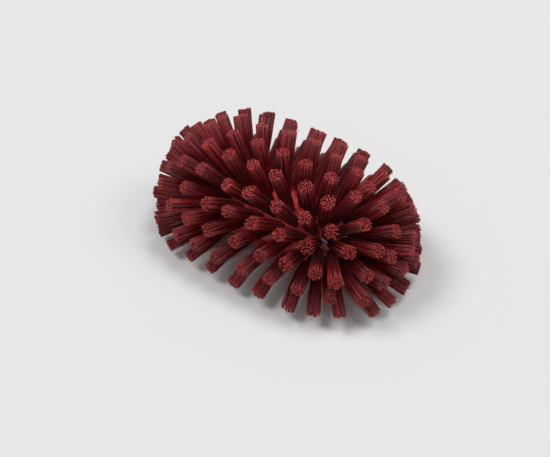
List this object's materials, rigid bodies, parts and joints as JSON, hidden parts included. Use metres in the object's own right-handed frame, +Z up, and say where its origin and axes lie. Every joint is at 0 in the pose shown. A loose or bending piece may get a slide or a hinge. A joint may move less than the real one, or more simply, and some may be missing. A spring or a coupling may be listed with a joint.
{
  "type": "tank brush head",
  "caption": "Oval moulded brush block with tufts fanning out from its dome and a round handle socket underneath, for scrubbing tanks and kettles.",
  "frame": {"origin": "centre of the object's base, in the plane of the handle socket's end face that the upright brush stands on", "axes": "+Z up out of the top row of tufts, +X along the brush's length, +Y across it to the back"},
  "size_m": [0.2062, 0.1306, 0.083],
  "materials": {
    "block_red": "glossy moulded red polypropylene",
    "bristle_red": "dark red polyester filament with cut ends"
  },
  "bodies": {
    "root": {"block": "block_red", "bristles_row1_front": "bristle_red", "bristles_row1_right_end": "bristle_red", "bristles_row1_back": "bristle_red", "bristles_row1_left_end": "bristle_red", "bristles_row2_front": "bristle_red", "bristles_row2_right_end": "bristle_red", "bristles_row2_back": "bristle_red", "bristles_row2_left_end": "bristle_red", "bristles_row3_front": "bristle_red", "bristles_row3_right_end": "bristle_red", "bristles_row3_back": "bristle_red", "bristles_row3_left_end": "bristle_red", "bristles_row4_front": "bristle_red", "bristles_row4_right_end": "bristle_red", "bristles_row4_back": "bristle_red", "bristles_row4_left_end": "bristle_red", "bristles_row5_front": "bristle_red", "bristles_row5_right_end": "bristle_red", "bristles_row5_back": "bristle_red", "bristles_row5_left_end": "bristle_red", "bristles_row6_front": "bristle_red", "bristles_row6_right_end": "bristle_red", "bristles_row6_back": "bristle_red", "bristles_row6_left_end": "bristle_red", "bristles_top": "bristle_red"}
  },
  "joints": []
}
